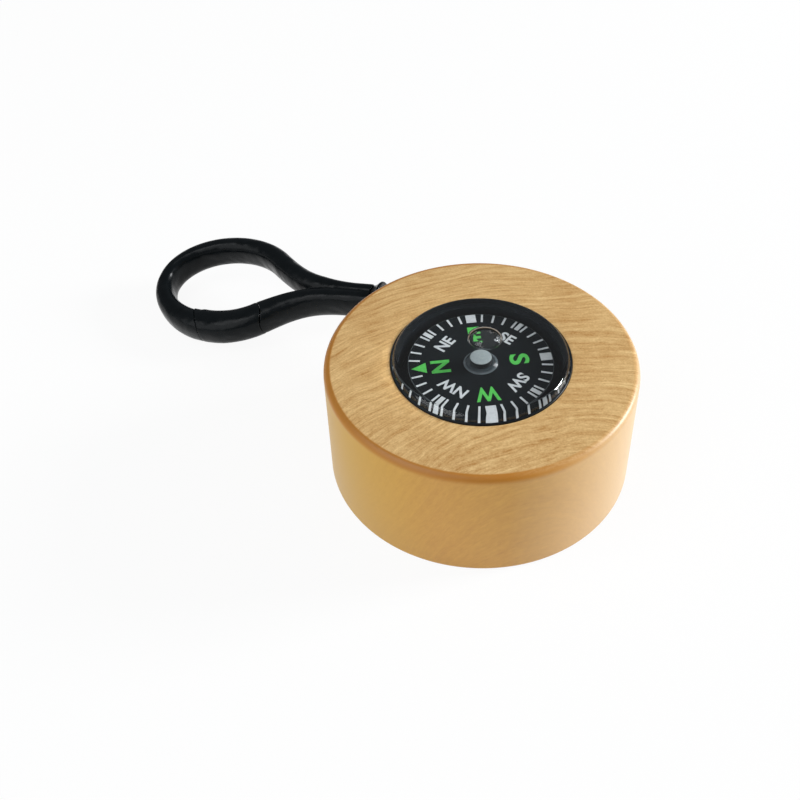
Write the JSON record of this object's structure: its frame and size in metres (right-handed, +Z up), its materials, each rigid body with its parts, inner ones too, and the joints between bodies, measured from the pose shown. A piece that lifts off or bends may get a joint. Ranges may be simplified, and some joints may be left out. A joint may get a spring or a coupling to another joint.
{
  "type": "pocket compass",
  "caption": "Liquid-filled pocket compass in a round wooden disc, with a swivelling black snap hook on its side.",
  "frame": {"origin": "centre of the wooden disc's flat underside, on the table", "axes": "+Z up through the compass's pivot; +X to the right of the picture and +Y away from the viewer; the snap hook lies on the table on the -X, +Y side"},
  "size_m": [0.0588, 0.0536, 0.0159],
  "materials": {
    "maple": "clear lacquer over fine-grained light wood",
    "pad_foam": "thin double-sided adhesive foam",
    "cup_plastic": "moulded black plastic",
    "needle_steel": "ground and polished point",
    "clear_acrylic": "clear moulded plastic, polished",
    "liquid": "clear damping liquid",
    "card_black": "matt black card",
    "print_white": "white pad print",
    "print_green": "green pad print",
    "magnet_steel": "blued magnet steel",
    "clear_styrene": "clear moulded plastic",
    "cap_grey": "grey moulded plastic",
    "jewel": "polished synthetic jewel",
    "nickel": "nickel-plated steel wire",
    "hook_nylon": "moulded black plastic, satin to glossy",
    "spring_steel": "bright spring strip"
  },
  "bodies": {
    "case": {"wood_disc": "maple", "capsule_pad": "pad_foam", "capsule_cup": "cup_plastic", "fill_plug": "cup_plastic", "pivot_needle": "needle_steel", "capsule_lens": "clear_acrylic", "damping_fluid": "liquid", "screw_eye": "nickel"},
    "card": {"dial_card": "card_black", "dial_ticks": "print_white", "north_mark": "print_green", "card_magnet": "magnet_steel", "hub_bushing": "clear_styrene", "hub_cap": "cap_grey", "jewel_cup": "jewel"},
    "link_ring": {"jump_ring": "nickel"},
    "swivel": {"swivel_eye": "hook_nylon"},
    "hook": {"hook_body": "hook_nylon", "gate_spring": "spring_steel"},
    "gate_bar": {"gate": "hook_nylon", "gate_pin": "nickel"}
  },
  "joints": [
    {"name": "card_spin", "type": "hinge", "parent": "case", "child": "card", "pos_m": [0, 0, 0.0133], "axis": [0, 0, 1], "continuous": true},
    {"name": "ring_turn", "type": "hinge", "parent": "case", "child": "link_ring", "pos_m": [-0.00444, 0.0194, 0.0075], "axis": [0, 0, 1], "range_deg": [-130, 5]},
    {"name": "hook_lift", "type": "hinge", "parent": "link_ring", "child": "swivel", "pos_m": [-0.00749, 0.01964, 0.00725], "axis": [-0.0802, -0.9968, 0], "range_deg": [-60, 90]},
    {"name": "hook_swivel", "type": "hinge", "parent": "swivel", "child": "hook", "pos_m": [-0.0117, 0.02056, 0.00679], "axis": [-0.9268, 0.3502, -0.1357], "continuous": true},
    {"name": "gate_open", "type": "hinge", "parent": "hook", "child": "gate_bar", "pos_m": [-0.02897, 0.02121, 0.00331], "axis": [0.2005, 0.1556, -0.9673], "range_deg": [0, 25], "stiffness_Nm_per_rad": 0.01, "springref_deg": -20.05, "deforming": ["gate_spring"]}
  ]
}
